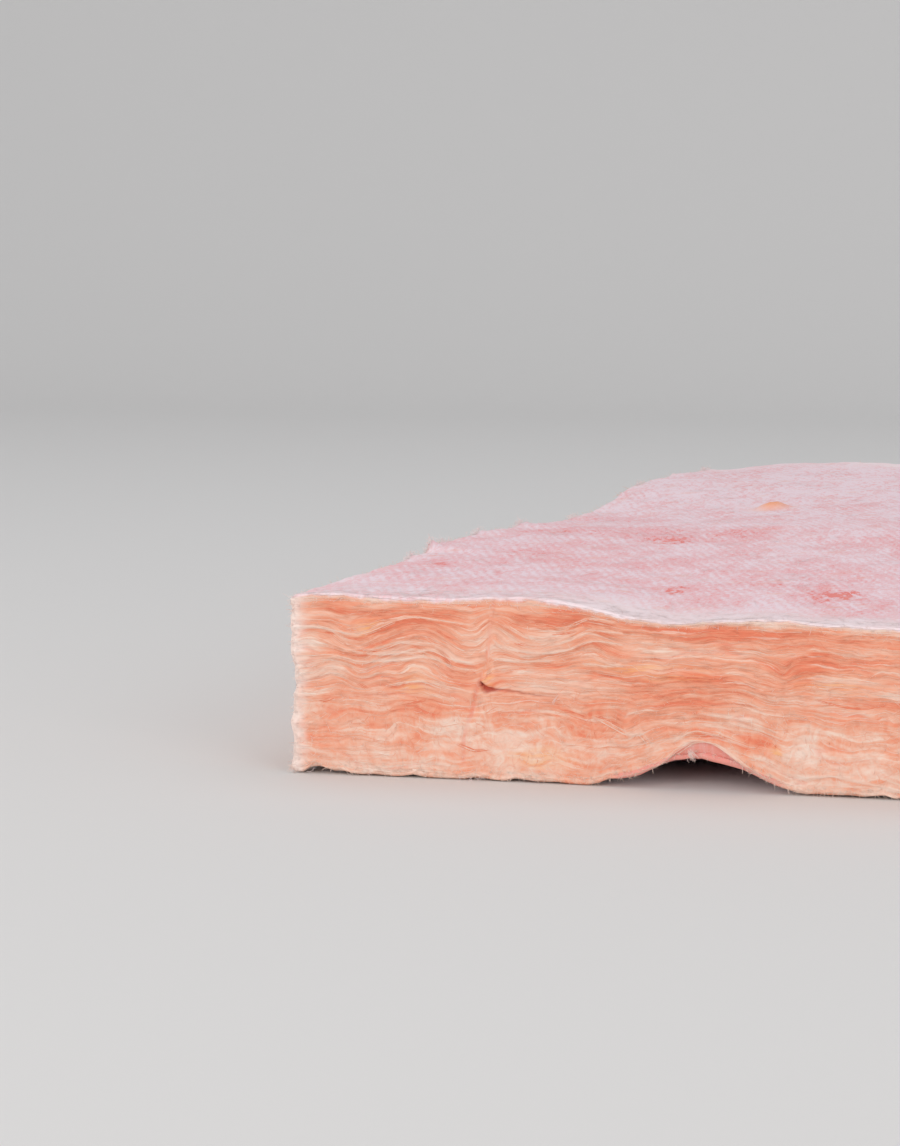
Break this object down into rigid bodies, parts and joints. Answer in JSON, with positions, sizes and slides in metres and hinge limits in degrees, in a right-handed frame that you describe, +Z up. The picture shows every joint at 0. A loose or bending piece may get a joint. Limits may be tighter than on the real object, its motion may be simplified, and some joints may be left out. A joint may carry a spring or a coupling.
{
  "type": "glass wool batt",
  "caption": "Rectangular slab of pink glass wool insulation, laid in layers, with cut fibrous faces, a gently uneven top skin and an arched hollow and slit in one end.",
  "frame": {"origin": "on the floor, under the middle of the batt's underside", "axes": "+X across the width, +Y along the length and away from the end face with the slit, +Z up through the thickness"},
  "size_m": [0.4298, 1.1603, 0.0962],
  "materials": {
    "glass_wool": "matt, fibrous, salmon pink at the cut faces and paler on the skins"
  },
  "bodies": {
    "root": {"glass_wool_batt": "glass_wool"}
  },
  "joints": []
}
